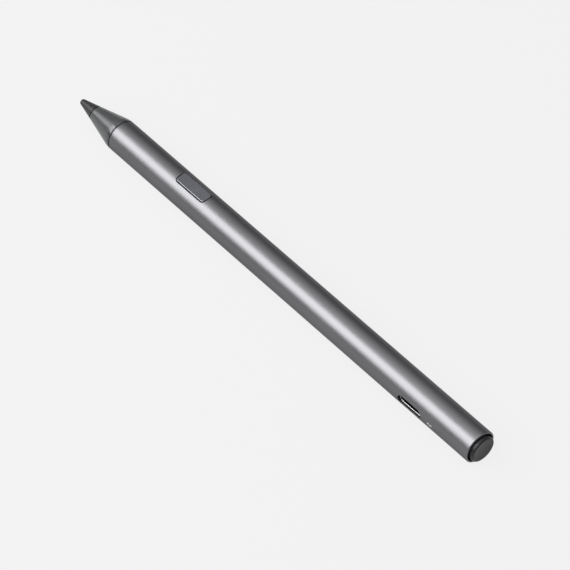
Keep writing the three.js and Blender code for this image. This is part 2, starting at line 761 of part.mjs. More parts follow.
addPiece("tail_board", tailBoard(), boardGreen());
addPiece("tail_flex", tailFlex(), flexAmber());
addPiece("tail_switch", tailSwitch(), steel());
addPiece("tail_switch_plunger", tailSwitchPlunger(), chipBlack());
addPiece("tail_bushing", tailBushing(), whiteNylon());
addPiece("tail_spring", tailSpring(), springSteel());
addPiece("tail_button", tailButton(), darkPlastic());

export default stylus;
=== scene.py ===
"""The looks of an active stylus pen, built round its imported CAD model.

The pen lies along X with its writing tip at the low end. Its side button faces +Z, its charging
port faces -Y, and the flat along its underside rests on the floor. Lengths below are in
millimetres unless a name says otherwise, and MM turns them into Blender's metres.
"""

import json
import math

import bmesh
import bpy
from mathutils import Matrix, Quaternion, Vector


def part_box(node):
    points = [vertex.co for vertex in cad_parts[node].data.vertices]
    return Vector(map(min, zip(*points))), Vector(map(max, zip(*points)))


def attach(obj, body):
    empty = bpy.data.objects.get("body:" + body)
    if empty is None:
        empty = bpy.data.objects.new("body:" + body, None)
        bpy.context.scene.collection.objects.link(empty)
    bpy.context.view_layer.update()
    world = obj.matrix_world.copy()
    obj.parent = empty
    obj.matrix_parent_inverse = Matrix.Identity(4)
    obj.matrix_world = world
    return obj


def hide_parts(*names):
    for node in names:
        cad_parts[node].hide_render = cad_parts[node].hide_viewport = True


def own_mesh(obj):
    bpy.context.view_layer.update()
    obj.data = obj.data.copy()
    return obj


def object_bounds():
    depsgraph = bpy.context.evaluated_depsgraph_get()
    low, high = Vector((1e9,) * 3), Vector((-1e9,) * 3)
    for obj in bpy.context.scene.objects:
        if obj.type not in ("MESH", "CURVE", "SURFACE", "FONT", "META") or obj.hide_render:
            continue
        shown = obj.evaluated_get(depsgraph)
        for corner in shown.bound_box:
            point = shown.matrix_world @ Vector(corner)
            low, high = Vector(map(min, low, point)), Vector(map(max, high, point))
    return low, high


MM = 0.001

# ---- The frame ------------------------------------------------------------------------------

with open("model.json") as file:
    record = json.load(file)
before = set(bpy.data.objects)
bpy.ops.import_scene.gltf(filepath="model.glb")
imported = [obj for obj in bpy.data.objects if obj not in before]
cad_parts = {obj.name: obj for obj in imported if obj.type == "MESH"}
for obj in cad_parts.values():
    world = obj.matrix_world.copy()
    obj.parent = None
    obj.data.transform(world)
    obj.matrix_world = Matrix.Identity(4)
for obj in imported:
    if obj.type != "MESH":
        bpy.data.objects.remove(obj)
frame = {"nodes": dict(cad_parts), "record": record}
CAD_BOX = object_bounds()


def box_mm(node):
    """A node's lowest and highest corners, in millimetres."""
    low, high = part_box(node)
    return low / MM, high / MM


BARREL_LOW, BARREL_HIGH = box_mm("barrel")
BUTTON_LOW, BUTTON_HIGH = box_mm("side_button")
NIB_LOW, NIB_HIGH = box_mm("nib")
NOSE_LOW, NOSE_HIGH = box_mm("nose_cone")
TAIL_LOW, TAIL_HIGH = box_mm("tail_button")
SHELL_LOW, SHELL_HIGH = box_mm("usb_c_shell")
PIPE_LOW, PIPE_HIGH = box_mm("light_pipe")

RADIUS = (BARREL_HIGH.y - BARREL_LOW.y) / 2
AXIS_Z = BARREL_HIGH.z - RADIUS
FLAT_Z = BARREL_LOW.z
TIP = NIB_LOW.x

# ---- Sizes of the fine detail ---------------------------------------------------------------

# How finely round shapes are divided, and how they are shaded.
SIDES = 192
ARC_STEPS = 5
SHARP_EDGE = math.radians(35)
FOLLOW_LARGE_FACES = 100
ROUND_END_GAP = 0.001
TINY = 1e-6

BARREL_WALL = 0.6
NECK_PLAY = 0.1
BORE = RADIUS - BARREL_WALL
NECK = BORE - NECK_PLAY
BARREL_ROUNDING = {"front": 0.12, "rear": 0.28, "tail_bore": 0.06}

NIB_TIP_RADIUS = 0.784
NIB_BASE_RADIUS = 2.26
NIB_STEM_RADIUS = 0.85
NIB_LENGTH = 6.24
NIB_ROUNDING = {"tip": 0.576, "rear": 0.06, "stem_root": 0.12, "stem_end": 0.2}

NOSE_FRONT_RADIUS = 2.34
NOSE_FULL_AT = TIP + 16.4
NOSE_SHOULDER_END = TIP + 17.35
NOSE_ROUNDING = {"hole": 0.05, "front": 0.08, "shoulder": 4.0, "seam": 0.1, "neck": 0.15}
STEM_HOLE_PLAY = 0.3
SEAM_RADIUS = RADIUS - 0.25
SEAM_PLAY = 0.05
SEAL_CENTRE = TIP + 20.6
SEAL_GROOVE = {"half": 0.31, "radius": 3.53}
HOLDER_BORE = {"start": TIP + 9.9, "end": TIP + 17.5, "radius": 2.0, "chamber": 3.2}

TAIL_BORE = {"radius": 4.27, "start": TIP + 158}
TAIL_STEM_RADIUS = 1.0
TAIL_CAP_START = TIP + 159
TAIL_DISH = {"radius": 3.2, "depth": 0.16, "steps": 16}
TAIL_SPRING_POCKET = {"inner": 1.27, "outer": 2.23, "end": TIP + 160.35}
TAIL_ROUNDING = {"stem": 0.1, "underside": 0.15, "top": 0.45}

BUTTON_CENTRE = (BUTTON_LOW.x + BUTTON_HIGH.x) / 2
BUTTON_WINDOW = {"length": 11.8, "width": 3.92, "corner": 1.1}
BUTTON_KEY = {"length": 11.45, "width": 3.5, "corner": 0.9}
BUTTON_KEY_SHIFT = -0.08
BUTTON_BEVEL = {"size": 0.18, "softness": 0.03, "blunting": 0.009}
BUTTON_FLANGE = {"length": 13.2, "width": 5.2, "corner": 1.0}
FLANGE_TOP, FLANGE_BOTTOM = 3.05, 2.5
PUSHER_RADIUS = 0.8

PORT_CENTRE = (SHELL_LOW.x + SHELL_HIGH.x) / 2
PORT_CUTOUT = {"length": 8.6, "width": 2.9}
PORT_OPENING = {"length": 8.34, "width": 2.56}
PORT_SHELL = {"wall": 0.25, "lip": 0.1, "back_wall": 0.3}
# Depths behind the port shell's front where its painted shade begins and where it is full.
PORT_SHADE_DEPTH = {"bright": 0.12, "black": 0.30}
LIGHT_CENTRE = (PIPE_LOW.x + PIPE_HIGH.x) / 2
LIGHT_SLOT = {"length": 2.1, "width": 0.44}
LIGHT_PIPE = {"play": 0.06, "dome": 0.16, "dome_inset": 0.8, "dome_sweep": 80}

# How each opening's lip is rounded, and where its cutter starts and ends.
OPENING_LIPS = {"window": 0.05, "port": 0.10, "light": 0.06}
LIP_SWEEP = 75
CUTTER_START = {"window": 1.0, "port": 3.0, "light": 3.0}
CUTTER_REACH = 0.5

# Coil springs: the coil's radius to the wire's centre, the wire's own radius and the turns.
NIB_SPRING = {"radius": 1.5, "wire": 0.2, "turns": 5}
TAIL_SPRING = {"radius": 1.75, "wire": 0.18, "turns": 3}
COIL_STEPS_PER_TURN = 28
WIRE_SIDES = 12

# ---- Mesh work ------------------------------------------------------------------------------


def rounded(corners, closed, steps=ARC_STEPS):
    """Rounds a profile's corners. Each corner is (x, radius) or (x, radius, rounding)."""
    points = []
    for i, corner in enumerate(corners):
        here = Vector(corner[:2])
        rounding = corner[2] if len(corner) > 2 else 0
        if rounding == 0:
            points.append(here)
            continue
        before = (Vector(corners[i - 1][:2]) - here).normalized()
        after = (Vector(corners[(i + 1) % len(corners)][:2]) - here).normalized()
        half = before.angle(after) / 2
        centre = here + (before + after).normalized() * rounding / math.sin(half)
        start = here + before * rounding / math.tan(half) - centre
        end = here + after * rounding / math.tan(half) - centre
        sweep = start.angle_signed(end)
        for k in range(steps + 1):
            turn = -sweep * k / steps
            turned = Vector((
                start.x * math.cos(turn) - start.y * math.sin(turn),
                start.x * math.sin(turn) + start.y * math.cos(turn),
            ))
            points.append(centre + turned)
    if closed:
        points.append(points[0])
    return points


def refined(points, step):
    """Splits a profile's long stretches, so that none is longer than step."""
    result = [points[0]]
    for start, end in zip(points, points[1:]):
        count = max(1, math.ceil((end - start).length / step))
        result += [start.lerp(end, k / count) for k in range(1, count + 1)]
    return result


def skin(bm, rings):
    """Joins neighbouring rings with faces. A ring of one vertex is a pole."""
    for one, two in zip(rings, rings[1:]):
        count = max(len(one), len(two))
        for k in range(count):
            corners = [one[k % len(one)], one[(k + 1) % count % len(one)]]
            corners += [two[(k + 1) % count % len(two)], two[k % len(two)]]
            bm.faces.new(list(dict.fromkeys(corners)))


def capped(name, bm, rings):
    """A closed solid through a stack of rings, with a face over each end."""
    skin(bm, rings)
    bm.faces.new(rings[0])
    bm.faces.new(rings[-1])
    return new_object(name, bm)


def round_over(size, sweep_deg=90):
    """Steps over a rounded edge: how far in from the side, and how far below the top."""
    angles = [math.radians(sweep_deg) * k / ARC_STEPS for k in range(ARC_STEPS + 1)]
    return [(size * (1 - math.cos(a)), size * (1 - math.sin(a))) for a in angles]


def new_object(name, bm):
    """Closes a bmesh into an object whose faces point out, in metres."""
    bmesh.ops.recalc_face_normals(bm, faces=bm.faces)
    bmesh.ops.scale(bm, vec=(MM, MM, MM), verts=bm.verts)
    mesh = bpy.data.meshes.new(name)
    bm.to_mesh(mesh)
    bm.free()
    thing = bpy.data.objects.new(name, mesh)
    bpy.context.scene.collection.objects.link(thing)
    return thing


def lathe(name, points, flat=False):
    """Turns a profile of (x, radius) about the pen's axis. flat mills its underside level."""
    bm = bmesh.new()
    closed = (points[0] - points[-1]).length < TINY
    rings = []
    for x, radius in points[:-1] if closed else points:
        count = SIDES if radius > TINY else 1
        angles = [2 * math.pi * k / SIDES for k in range(count)]
        rings.append([
            bm.verts.new((x, radius * math.cos(a), AXIS_Z + radius * math.sin(a))) for a in angles
        ])
    skin(bm, rings + rings[:1] if closed else rings)
    if flat:
        cut_flat(bm)
    return new_object(name, bm)


def cut_flat(bm):
    """Mills the flat along the underside, and closes the cut."""
    everything = list(bm.verts) + list(bm.edges) + list(bm.faces)
    cut = bmesh.ops.bisect_plane(
        bm, geom=everything, plane_co=(0, 0, FLAT_Z), plane_no=(0, 0, -1), clear_outer=True
    )
    edges = [item for item in cut["geom_cut"] if isinstance(item, bmesh.types.BMEdge)]
    bmesh.ops.holes_fill(bm, edges=edges, sides=0)


def outline(length, width, corner, runs=(40, 12)):
    """Points and outward normals round a rectangle with round corners: (u, v, nu, nv).

    runs says how many pieces the long and the short sides are split into.
    """
    half_u, half_v = length / 2 - corner, width / 2 - corner
    centres = [(half_u, half_v), (-half_u, half_v), (-half_u, -half_v), (half_u, -half_v)]
    arc_steps = 3 * ARC_STEPS
    points = []
    for quarter, (u, v) in enumerate(centres):
        for k in range(arc_steps + 1):
            angle = math.pi / 2 * (quarter + k / arc_steps)
            nu, nv = math.cos(angle), math.sin(angle)
            points.append((u + corner * nu, v + corner * nv, nu, nv))
        next_u, next_v = centres[(quarter + 1) % 4]
        start_u, start_v = u + corner * nu, v + corner * nv
        count = runs[quarter % 2]
        for k in range(1, count):
            share = k / count
            points.append((
                start_u + (next_u - u) * share, start_v + (next_v - v) * share, nu, nv
            ))
    return points


def pill(size, grow=0.0):
    """An outline with round ends, made larger all round by grow.

    The ends stop just short of fully round, which keeps their corner points apart.
    """
    length, width = size["length"] + 2 * grow, size["width"] + 2 * grow
    return outline(length, width, width / 2 - ROUND_END_GAP, runs=(24, 1))


def circle_like(points, radius):
    """A circle with as many points as an outline, each in the same direction."""
    spokes = [Vector(point[:2]).normalized() for point in points]
    return [(radius * spoke.x, radius * spoke.y, spoke.x, spoke.y) for spoke in spokes]


def upwards(centre_x):
    """Places (u, v, w) with w rising from the pen's axis towards the side button."""
    return lambda u, v, w: (centre_x + u, v, AXIS_Z + w)


def sideways(centre_x):
    """Places (u, v, w) with w running from the pen's axis towards the charging port."""
    return lambda u, v, w: (centre_x + u, -w, AXIS_Z + v)


def loft(name, levels, place):
    """A solid through a stack of outlines. Each level is (outline, inset, height)."""
    bm = bmesh.new()
    rings = []
    for points, inset, height in levels:
        rings.append([
            bm.verts.new(place(u - nu * inset, v - nv * inset, height)) for u, v, nu, nv in points
        ])
    return capped(name, bm, rings)


def coil(name, start, end, radius, wire, turns):
    """A coil spring round the pen's axis, with its radius to the wire's centre."""
    steps = COIL_STEPS_PER_TURN * turns
    length = end - start - 2 * wire
    bm = bmesh.new()
    rings = []
    for k in range(steps + 1):
        share = k / steps
        angle = 2 * math.pi * turns * share
        outward = Vector((0, math.cos(angle), math.sin(angle)))
        around = Vector((0, -math.sin(angle), math.cos(angle)))
        along = Vector((length, 0, 0)) + around * 2 * math.pi * turns * radius
        sideward = along.normalized().cross(outward)
        centre = Vector((start + wire + length * share, 0, AXIS_Z)) + outward * radius
        wire_angles = [2 * math.pi * side / WIRE_SIDES for side in range(WIRE_SIDES)]
        rings.append([
            bm.verts.new(centre + wire * (outward * math.cos(a) + sideward * math.sin(a)))
            for a in wire_angles
        ])
    return capped(name, bm, rings)


def opening_cutter(points, place, lip, start):
    """A cutter for an opening in the barrel, flared into a rounded lip at the round surface.

    It runs from start, a distance from the pen's axis, to a little past the barrel's surface.
    """
    def surface(v):
        return math.sqrt(RADIUS ** 2 - v ** 2)

    levels = [(0.0, lambda v: start)]
    for grow, drop in round_over(lip, LIP_SWEEP):
        levels.append((grow, lambda v, drop=drop: surface(v) - drop))
    levels.append((levels[-1][0], lambda v: RADIUS + CUTTER_REACH))
    bm = bmesh.new()
    rings = []
    for grow, height in levels:
        ring = []
        for u, v, nu, nv in points:
            across = v + nv * grow
            ring.append(bm.verts.new(place(u + nu * grow, across, height(across))))
        rings.append(ring)
    return capped("cutter", bm, rings)


def subtract(thing, cutter):
    """Cuts one object out of another, and throws the cutter away."""
    modifier = thing.modifiers.new("cut", "BOOLEAN")
    modifier.operation = "DIFFERENCE"
    modifier.solver = "EXACT"
    modifier.object = cutter
    graph = bpy.context.evaluated_depsgraph_get()
    mesh = bpy.data.meshes.new_from_object(thing.evaluated_get(graph))
    thing.modifiers.clear()
    thing.data = mesh
    bpy.data.objects.remove(cutter)


def shade(thing):
    """Smooth shading that keeps real edges and follows the large faces."""
    thing.data.shade_smooth()
    thing.data.set_sharp_from_angle(angle=SHARP_EDGE)
    weighted = thing.modifiers.new("weighted_normals", "WEIGHTED_NORMAL")
    weighted.keep_sharp = True
    weighted.weight = FOLLOW_LARGE_FACES


def finish_piece(thing, material, body, slot, *nodes):
    """Gives a piece its material and its body, and hides the CAD nodes that it stands for. slot is
    not used.
    """
    thing.data.materials.clear()
    thing.data.materials.append(material)
    shade(thing)
    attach(thing, body)
    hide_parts(*nodes)


# ---- Material building blocks ---------------------------------------------------------------

# The part of a noise's range that most of it falls in.
NOISE_MIDDLE = (0.3, 0.7)

# Worn edges: the cosine of the lean where wear begins and where it is full, and its patchiness.
EDGE_SAMPLES = 6
EDGE_LEAN = {"none": 0.995, "full": 0.90}
EDGE_PATCH_MM = 0.6
EDGE_PATCHES = (0.4, 1.0)


def new_material(name, **sockets):
    """A Principled material. Each keyword is an input's name with _ for a space."""
    material = bpy.data.materials.new(name)
    material.use_nodes = True
    for socket, value in sockets.items():
        shader_of(material).inputs[socket.replace("_", " ")].default_value = value
    return material


def add(material, kind, **properties):
    """Adds a shader node, with its properties set."""
    node = material.node_tree.nodes.new(kind)
    for name, value in properties.items():
        setattr(node, name, value)
    return node


def link(material, source, output, target, socket):
    """Joins a node's output to another node's input."""
    material.node_tree.links.new(source.outputs[output], target.inputs[socket])


def shader_of(material):
    """The node that a material's colour, roughness and bump go into."""
    return material.node_tree.nodes["Principled BSDF"]


def noise(material, size_mm, detail=3.0, stretch=(1, 1, 1)):
    """Noise with features of about size_mm, stretched by a factor along each axis."""
    place = add(material, "ShaderNodeTexCoord")
    mapping = add(material, "ShaderNodeMapping")
    mapping.inputs["Scale"].default_value = [1 / factor for factor in stretch]
    texture = add(material, "ShaderNodeTexNoise")
    texture.inputs["Scale"].default_value = 1 / (size_mm * MM)
    texture.inputs["Detail"].default_value = detail
    link(material, place, "Object", mapping, "Vector")
    link(material, mapping, "Vector", texture, "Vector")
    return texture


def spread(material, texture, low, high):
    """Maps the middle of a noise to the range from low to high."""
    ranged = add(material, "ShaderNodeMapRange")
    ranged.inputs["From Min"].default_value = NOISE_MIDDLE[0]
    ranged.inputs["From Max"].default_value = NOISE_MIDDLE[1]
    ranged.inputs["To Min"].default_value = low
    ranged.inputs["To Max"].default_value = high
    link(material, texture, "Fac", ranged, "Value")
    return ranged


def vary_colour(material, texture, dark, light):
    """Blends the base colour from dark to light over a noise."""
    ramp = add(material, "ShaderNodeValToRGB")
    stops = zip(ramp.color_ramp.elements, NOISE_MIDDLE, (dark, light))
    for stop, position, colour in stops:
        stop.position = position
        stop.color = (*colour, 1)
    link(material, texture, "Fac", ramp, "Fac")
    link(material, ramp, "Color", shader_of(material), "Base Color")


def vary_roughness(material, texture, low, high):
    """Varies the roughness from low to high over a noise."""
    link(material, spread(material, texture, low, high), "Result", shader_of(material), "Roughness")


def soft_step(material, axis, start_mm, end_mm):
    """Rises from 0 at start to 1 at end, along one axis of the pen's frame."""
    place = add(material, "ShaderNodeTexCoord")
    split = add(material, "ShaderNodeSeparateXYZ")
    step = add(material, "ShaderNodeMapRange", interpolation_type="SMOOTHSTEP")
    step.inputs["From Min"].default_value = start_mm * MM
    step.inputs["From Max"].default_value = end_mm * MM
    link(material, place, "Object", split, "Vector")
    link(material, split, axis, step, "Value")
    return step


def blend_input(material, socket, mask, target):
    """Blends what already feeds an input towards a colour or a grey level, where mask is 1."""
    textured = shader_of(material).inputs[socket].links[0].from_socket
    blend = add(material, "ShaderNodeMixRGB")
    blend.inputs["Color2"].default_value = (*target, 1)
    material.node_tree.links.new(textured, blend.inputs["Color1"])
    link(material, mask, 0, blend, "Fac")
    link(material, blend, "Color", shader_of(material), socket)


def wear_edges(material, width_mm, worn, amount):
    """Rubs the colour towards worn along real edges, broken up by a noise.

    The edges are found where a rounded-over normal leans away from the true one.
    """
    rounded_over = add(material, "ShaderNodeBevel", samples=EDGE_SAMPLES)
    rounded_over.inputs["Radius"].default_value = width_mm * MM
    true_shape = add(material, "ShaderNodeNewGeometry")
    leaning = add(material, "ShaderNodeVectorMath", operation="DOT_PRODUCT")
    edge = add(material, "ShaderNodeMapRange")
    edge.inputs["From Min"].default_value = EDGE_LEAN["none"]
    edge.inputs["From Max"].default_value = EDGE_LEAN["full"]
    edge.inputs["To Max"].default_value = amount
    patchy = add(material, "ShaderNodeMath", operation="MULTIPLY")
    patches = spread(material, noise(material, EDGE_PATCH_MM), *EDGE_PATCHES)
    link(material, rounded_over, "Normal", leaning, 0)
    link(material, true_shape, "Normal", leaning, 1)
    link(material, leaning, "Value", edge, "Value")
    link(material, edge, "Result", patchy, 0)
    link(material, patches, "Result", patchy, 1)
    blend_input(material, "Base Color", patchy, worn)


def roughen(material, texture, height_mm):
    """Bumps the surface with a noise."""
    bump = add(material, "ShaderNodeBump")
    bump.inputs["Strength"].default_value = 1.0
    bump.inputs["Distance"].default_value = height_mm * MM
    link(material, texture, "Fac", bump, "Height")
    link(material, bump, "Normal", shader_of(material), "Normal")


# ---- Materials ------------------------------------------------------------------------------


def anodised_aluminium():
    """Bead-blasted space-grey aluminium: a very fine grain, a little uneven in gloss.

    The tint holds back the brightening of a metal at glancing angles.
    """
    material = new_material(
        "anodised_aluminium", Metallic=1.0, Specular_Tint=(0.50, 0.50, 0.51, 1)
    )
    blotches = noise(material, size_mm=9, detail=2, stretch=(3, 1, 1))
    grain = noise(material, size_mm=0.14, detail=2)
    vary_colour(material, blotches, (0.161, 0.161, 0.168), (0.175, 0.175, 0.182))
    wear_edges(material, width_mm=0.08, worn=(0.42, 0.42, 0.43), amount=0.45)
    vary_roughness(material, blotches, 0.36, 0.40)
    roughen(material, grain, height_mm=0.007)
    return material


def nose_paint():
    """Semi-gloss grey paint with a faint orange peel, polished where the shoulder runs level."""
    material = new_material("nose_paint", IOR=1.65)
    patches = noise(material, size_mm=3)
    peel = noise(material, size_mm=0.5, detail=1)
    vary_colour(material, patches, (0.029, 0.031, 0.032), (0.034, 0.036, 0.037))
    wear_edges(material, width_mm=0.08, worn=(0.10, 0.10, 0.10), amount=0.5)
    vary_roughness(material, patches, 0.27, 0.33)
    shoulder = soft_step(material, "X", start_mm=NOSE_FULL_AT - 0.3, end_mm=NOSE_FULL_AT + 0.2)
    blend_input(material, "Roughness", shoulder, (0.13, 0.13, 0.13))
    roughen(material, peel, height_mm=0.0008)
    return material


def nib_polymer():
    """Hard dark polymer, rubbed paler and rougher by use."""
    material = new_material("nib_polymer", IOR=1.46)
    patches = noise(material, size_mm=0.8)
    grain = noise(material, size_mm=0.08)
    vary_colour(material, patches, (0.008, 0.008, 0.009), (0.013, 0.013, 0.014))
    wear_edges(material, width_mm=0.08, worn=(0.03, 0.03, 0.03), amount=0.6)
    vary_roughness(material, patches, 0.36, 0.44)
    roughen(material, grain, height_mm=0.0025)
    return material


def button_finish():
    """The key's anodised aluminium, a little smoother than the barrel's."""
    material = new_material("button_finish", Metallic=1.0)
    patches = noise(material, size_mm=2.5)
    grain = noise(material, size_mm=0.14, detail=2)
    vary_colour(material, patches, (0.150, 0.156, 0.172), (0.161, 0.168, 0.185))
    wear_edges(material, width_mm=0.10, worn=(0.45, 0.45, 0.46), amount=0.6)
    vary_roughness(material, patches, 0.30, 0.36)
    roughen(material, grain, height_mm=0.006)
    return material


def tail_plastic():
    """Dark moulded plastic with a fine spark-eroded texture."""
    material = new_material("tail_plastic", IOR=1.36)
    patches = noise(material, size_mm=2)
    grain = noise(material, size_mm=0.10)
    vary_colour(material, patches, (0.008, 0.008, 0.010), (0.012, 0.012, 0.014))
    wear_edges(material, width_mm=0.08, worn=(0.05, 0.05, 0.05), amount=0.5)
    vary_roughness(material, patches, 0.34, 0.42)
    roughen(material, grain, height_mm=0.0035)
    return material


def port_steel():
    """Drawn stainless steel, with painted shade that darkens it to near black from just behind its
    front lip inwards.
    """
    material = new_material("port_steel", Metallic=1.0)
    lines = noise(material, size_mm=0.12, stretch=(1, 12, 1))
    vary_colour(material, lines, (0.60, 0.60, 0.60), (0.70, 0.70, 0.69))
    vary_roughness(material, lines, 0.24, 0.34)
    roughen(material, lines, height_mm=0.0003)
    # Painted shade: the steel's colour is blended to near black deeper in the socket, where little
    # light reaches.
    shade_starts_at = SHELL_LOW.y + PORT_SHADE_DEPTH["bright"]
    shade_full_at = SHELL_LOW.y + PORT_SHADE_DEPTH["black"]
    inside = soft_step(material, "Y", shade_starts_at, shade_full_at)
    blend_input(material, "Base Color", inside, (0.03, 0.03, 0.03))
    return material


def light_pipe_plastic():
    """Milky acrylic for the status light's window, with a faint painted glow that brightens it."""
    # The emission is a painted glow, not light from a lamp.
    material = new_material(
        "light_pipe", Emission_Color=(0.96, 0.98, 1.0, 1), Emission_Strength=0.24
    )
    clouds = noise(material, size_mm=0.5)
    vary_colour(material, clouds, (0.66, 0.67, 0.68), (0.74, 0.75, 0.76))
    vary_roughness(material, clouds, 0.30, 0.40)
    roughen(material, clouds, height_mm=0.0004)
    return material


def plain_finish(name, dark, light, roughness, size_mm, bump_mm, **sockets):
    """A quiet finish for an inner piece: two close colours, two roughnesses and a fine bump."""
    material = new_material(name, **sockets)
    patches = noise(material, size_mm)
    grain = noise(material, size_mm / 10)
    vary_colour(material, patches, dark, light)
    vary_roughness(material, patches, *roughness)
    roughen(material, grain, bump_mm)
    return material


# Each row: dark and light colour, range of roughness, size of the patches, height of the bump.
PLAIN_FINISHES = {
    "frame_plastic": ((0.055, 0.056, 0.059), (0.072, 0.073, 0.076), (0.42, 0.52), 3, 0.002),
    "circuit_board": ((0.012, 0.055, 0.030), (0.020, 0.080, 0.044), (0.34, 0.46), 1.2, 0.002),
    "chip_epoxy": ((0.010, 0.010, 0.011), (0.018, 0.018, 0.019), (0.45, 0.58), 0.8, 0.002),
    "white_nylon": ((0.66, 0.65, 0.60), (0.76, 0.75, 0.70), (0.45, 0.58), 1.5, 0.002),
    "seal_rubber": ((0.008, 0.008, 0.009), (0.016, 0.016, 0.017), (0.60, 0.75), 1, 0.003),
    "flex_film": ((0.26, 0.11, 0.02), (0.34, 0.15, 0.03), (0.28, 0.40), 1.5, 0.001),
    "cell_wrap": ((0.022, 0.065, 0.170), (0.030, 0.085, 0.210), (0.30, 0.42), 4, 0.003),
    "foam": ((0.060, 0.060, 0.064), (0.110, 0.110, 0.116), (0.88, 1.0), 0.4, 0.03),
    "lead_red": ((0.34, 0.014, 0.010), (0.44, 0.022, 0.014), (0.38, 0.50), 1, 0.001),
    "lead_black": ((0.008, 0.008, 0.008), (0.014, 0.014, 0.014), (0.38, 0.50), 1, 0.001),
    "led_body": ((0.80, 0.78, 0.68), (0.88, 0.86, 0.76), (0.28, 0.38), 0.4, 0.0008),
}
METAL_FINISHES = {
    "steel": ((0.50, 0.50, 0.50), (0.60, 0.60, 0.59), (0.24, 0.34), 1.5, 0.001),
    "spring_steel": ((0.34, 0.34, 0.35), (0.44, 0.44, 0.45), (0.26, 0.36), 0.8, 0.001),
    "brass": ((0.62, 0.42, 0.16), (0.72, 0.52, 0.22), (0.26, 0.36), 1.5, 0.001),
    "gold_plate": ((0.80, 0.55, 0.20), (0.90, 0.66, 0.28), (0.18, 0.26), 0.6, 0.0006),
    "magnet_nickel": ((0.46, 0.45, 0.43), (0.54, 0.53, 0.51), (0.22, 0.34), 2, 0.001),
}


def inner_finishes():
    """The finishes of the inner pieces, under the names of their slots."""
    finishes = {name: plain_finish(name, *row) for name, row in PLAIN_FINISHES.items()}
    for name, row in METAL_FINISHES.items():
        finishes[name] = plain_finish(name, *row, Metallic=1.0)
    return finishes


# ---- Pieces ---------------------------------------------------------------------------------


def make_nib(material):
    """The writing nib: a slim cone with a round tip, a crisp rear edge and a stem."""
    stem_end = NIB_HIGH.x
    corners = [
        (TIP, 0),
        (TIP, NIB_TIP_RADIUS, NIB_ROUNDING["tip"]),
        (TIP + NIB_LENGTH, NIB_BASE_RADIUS, NIB_ROUNDING["rear"]),
        (TIP + NIB_LENGTH, NIB_STEM_RADIUS + NIB_ROUNDING["stem_root"]),
        (TIP + NIB_LENGTH + NIB_ROUNDING["stem_root"], NIB_STEM_RADIUS),
        (stem_end, NIB_STEM_RADIUS, NIB_ROUNDING["stem_end"]),
        (stem_end, 0),
    ]
    nib = lathe("writing_nib", refined(rounded(corners, closed=False, steps=10), step=0.4))
    finish_piece(nib, material, "nib_tip", "nib_polymer", "nib")


def make_nose(material):
    """The nose cone, with its stem hole, its softened shoulder and its neck inside the barrel."""
    stem_hole = NIB_STEM_RADIUS + STEM_HOLE_PLAY
    seam_end = BARREL_LOW.x - SEAM_PLAY
    groove_start = SEAL_CENTRE - SEAL_GROOVE["half"]
    groove_end = SEAL_CENTRE + SEAL_GROOVE["half"]
    bore = HOLDER_BORE
    corners = [
        (NOSE_LOW.x, stem_hole, NOSE_ROUNDING["hole"]),
        (NOSE_LOW.x, NOSE_FRONT_RADIUS, NOSE_ROUNDING["front"]),
        (NOSE_FULL_AT, RADIUS, NOSE_ROUNDING["shoulder"]),
        (NOSE_SHOULDER_END, RADIUS, NOSE_ROUNDING["seam"]),
        (NOSE_SHOULDER_END, SEAM_RADIUS),
        (seam_end, SEAM_RADIUS),
        (seam_end, NECK),
        (groove_start, NECK),
        (groove_start, SEAL_GROOVE["radius"]),
        (groove_end, SEAL_GROOVE["radius"]),
        (groove_end, NECK),
        (NOSE_HIGH.x, NECK, NOSE_ROUNDING["neck"]),
        (NOSE_HIGH.x, bore["chamber"]),
        (bore["end"], bore["chamber"]),
        (bore["end"], bore["radius"]),
        (bore["start"], bore["radius"]),
        (bore["start"], stem_hole),
    ]
    nose = lathe("nose", refined(rounded(corners, closed=True), step=0.5), flat=True)
    finish_piece(nose, material, "pen_body", "nose_paint", "nose_cone")


def make_barrel(material):
    """The tube, with soft ends and rounded lips round its three openings."""
    corners = [
        (BARREL_LOW.x, BORE),
        (BARREL_LOW.x, RADIUS, BARREL_ROUNDING["front"]),
        (BARREL_HIGH.x, RADIUS, BARREL_ROUNDING["rear"]),
        (BARREL_HIGH.x, TAIL_BORE["radius"], BARREL_ROUNDING["tail_bore"]),
        (TAIL_BORE["start"], TAIL_BORE["radius"]),
        (TAIL_BORE["start"], BORE),
    ]
    barrel = lathe("barrel_tube", refined(rounded(corners, closed=True), step=1.0), flat=True)
    openings = [
        ("window", outline(**BUTTON_WINDOW), upwards(BUTTON_CENTRE)),
        ("port", pill(PORT_CUTOUT), sideways(PORT_CENTRE)),
        ("light", pill(LIGHT_SLOT), sideways(LIGHT_CENTRE)),
    ]
    for which, points, place in openings:
        cutter = opening_cutter(points, place, OPENING_LIPS[which], CUTTER_START[which])
        subtract(barrel, cutter)
    finish_piece(barrel, material, "pen_body", "anodised_aluminium", "barrel")


def make_side_button(material):
    """The side button: a flat key with a bright cut bevel, its flange and its pusher."""
    key = [(u + BUTTON_KEY_SHIFT, v, nu, nv) for u, v, nu, nv in outline(**BUTTON_KEY)]
    flange = outline(**BUTTON_FLANGE)
    pusher = circle_like(flange, PUSHER_RADIUS)
    top = BUTTON_HIGH.z - AXIS_Z
    bevel, soft, blunt = BUTTON_BEVEL["size"], BUTTON_BEVEL["softness"], BUTTON_BEVEL["blunting"]
    levels = [
        (pusher, 0.0, BUTTON_LOW.z - AXIS_Z),
        (pusher, 0.0, FLANGE_BOTTOM),
        (flange, 0.0, FLANGE_BOTTOM),
        (flange, 0.0, FLANGE_TOP),
        (key, 0.0, FLANGE_TOP),
        (key, 0.0, top - bevel - soft),
        (key, blunt, top - bevel),
        (key, bevel - blunt, top - blunt),
        (key, bevel + soft, top),
    ]
    button = loft("side_key_top", levels, upwards(BUTTON_CENTRE))
    finish_piece(button, material, "side_key", "button_finish", "side_button")


